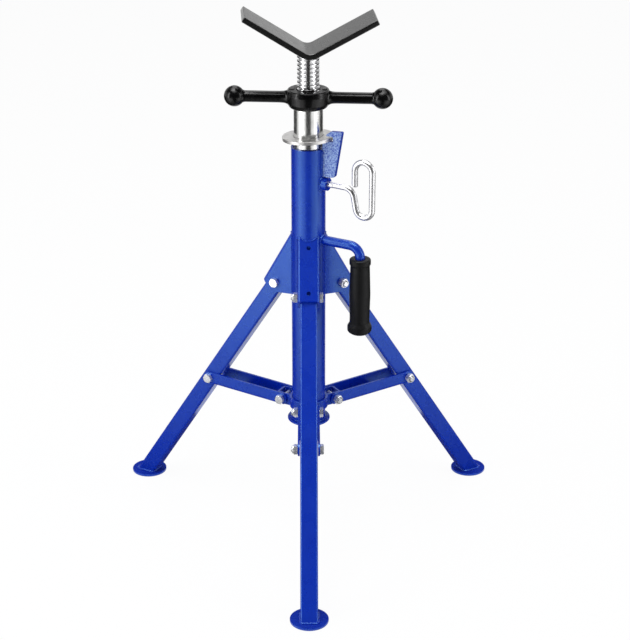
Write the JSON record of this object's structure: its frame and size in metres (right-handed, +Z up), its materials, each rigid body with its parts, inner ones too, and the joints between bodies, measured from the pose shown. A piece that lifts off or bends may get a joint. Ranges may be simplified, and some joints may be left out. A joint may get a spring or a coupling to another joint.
{
  "type": "tripod pipe stand",
  "caption": "Folding steel tripod stand with a telescoping mast, a screw jack turned by a bar nut, and a V-shaped head that cradles a pipe.",
  "frame": {"origin": "on the floor, on the mast's axis, with the legs open", "axes": "+Z up the mast, -Y towards the front leg, +X to the right in the picture"},
  "size_m": [0.5784, 0.5083, 0.7962],
  "materials": {
    "blue_paint": "glossy royal-blue powder coat",
    "zinc_plate": "bright zinc plate",
    "bright_tube": "smooth bright steel",
    "black_iron": "black enamelled casting",
    "grip_rubber": "matt black moulded rubber",
    "black_paint": "satin black paint"
  },
  "bodies": {
    "mast": {"outer_tube": "blue_paint", "bottom_stop": "blue_paint", "hook_plate": "blue_paint", "pin_boss": "blue_paint", "handle_bar": "blue_paint", "hand_grip": "grip_rubber", "bracket_front": "blue_paint", "bracket_right": "blue_paint", "bracket_left": "blue_paint", "pivot_bolt_front": "zinc_plate", "pivot_bolt_right": "zinc_plate", "pivot_bolt_left": "zinc_plate", "pivot_nut_front": "zinc_plate", "pivot_nut_right": "zinc_plate", "pivot_nut_left": "zinc_plate"},
    "slide_collar": {"collar_ring": "blue_paint", "lug_front": "blue_paint", "lug_right": "blue_paint", "lug_left": "blue_paint", "hub_bolt_front": "zinc_plate", "hub_bolt_right": "zinc_plate", "hub_bolt_left": "zinc_plate", "hub_nut_front": "zinc_plate", "hub_nut_right": "zinc_plate", "hub_nut_left": "zinc_plate"},
    "telescopic_tube": {"inner_tube": "bright_tube"},
    "screw_and_head": {"lift_screw": "bright_tube", "v_head": "black_paint"},
    "jack_nut": {"jack_nut": "black_iron"},
    "friction_collar": {"friction_collar": "zinc_plate"},
    "lock_pin": {"lock_pin": "zinc_plate"},
    "leg_front": {"leg_front": "blue_paint", "foot_front": "blue_paint"},
    "leg_right": {"leg_right": "blue_paint", "foot_right": "blue_paint"},
    "leg_left": {"leg_left": "blue_paint", "foot_left": "blue_paint"},
    "link_front": {"link_front": "blue_paint", "link_bolt_front": "zinc_plate", "link_nut_front": "zinc_plate"},
    "link_right": {"link_right": "blue_paint", "link_bolt_right": "zinc_plate", "link_nut_right": "zinc_plate"},
    "link_left": {"link_left": "blue_paint", "link_bolt_left": "zinc_plate", "link_nut_left": "zinc_plate"}
  },
  "joints": [
    {"name": "leg_front_fold", "type": "hinge", "parent": "mast", "child": "leg_front", "pos_m": [0, -0.049, 0.3865], "axis": [1, 0, 0], "range_deg": [0, 24.5]},
    {"name": "leg_right_fold", "type": "hinge", "parent": "mast", "child": "leg_right", "pos_m": [0.04244, 0.0245, 0.3865], "axis": [-0.5, 0.866, 0], "range_deg": [0, 24.5]},
    {"name": "leg_left_fold", "type": "hinge", "parent": "mast", "child": "leg_left", "pos_m": [-0.04244, 0.0245, 0.3865], "axis": [-0.5, -0.866, 0], "range_deg": [0, 24.5]},
    {"name": "collar_slide", "type": "slide", "parent": "mast", "child": "slide_collar", "axis": [0, 0, 1], "range_m": [0, 0.09469]},
    {"name": "link_front_swing", "type": "hinge", "parent": "slide_collar", "child": "link_front", "pos_m": [0, -0.0405, 0.197], "axis": [1, 0, 0], "range_deg": [0, 73.23]},
    {"name": "link_right_swing", "type": "hinge", "parent": "slide_collar", "child": "link_right", "pos_m": [0.03507, 0.02025, 0.197], "axis": [-0.5, 0.866, 0], "range_deg": [0, 73.23]},
    {"name": "link_left_swing", "type": "hinge", "parent": "slide_collar", "child": "link_left", "pos_m": [-0.03507, 0.02025, 0.197], "axis": [-0.5, -0.866, 0], "range_deg": [0, 73.23]},
    {"name": "tube_lift", "type": "slide", "parent": "mast", "child": "telescopic_tube", "axis": [0, 0, 1], "range_m": [0, 0.3]},
    {"name": "jack_nut_spin", "type": "hinge", "parent": "telescopic_tube", "child": "jack_nut", "pos_m": [0, 0, 0.6715], "axis": [0, 0, 1], "range_deg": [-5400, 2520]},
    {"name": "screw_lift", "type": "slide", "parent": "telescopic_tube", "child": "screw_and_head", "axis": [0, 0, 1], "range_m": [-0.0421, 0.0901]},
    {"name": "grip_plate_tilt", "type": "hinge", "parent": "mast", "child": "friction_collar", "pos_m": [0.03248, -0.01875, 0.6134], "axis": [0.5, 0.866, 0], "range_deg": [0, 2.8]},
    {"name": "lock_pin_pull", "type": "slide", "parent": "mast", "child": "lock_pin", "axis": [0.866, -0.5, 0], "range_m": [-0.02, 0.035]}
  ],
  "couplings": [
    {"joint": "leg_right_fold", "follows": "leg_front_fold", "ratio": 1},
    {"joint": "leg_left_fold", "follows": "leg_front_fold", "ratio": 1},
    {"joint": "collar_slide", "follows": "leg_front_fold", "m_per_rad": 0.22099},
    {"joint": "link_front_swing", "follows": "leg_front_fold", "ratio": 2.9807},
    {"joint": "link_right_swing", "follows": "leg_front_fold", "ratio": 2.9807},
    {"joint": "link_left_swing", "follows": "leg_front_fold", "ratio": 2.9807},
    {"joint": "screw_lift", "follows": "jack_nut_spin", "m_per_rad": -0.00095493}
  ]
}
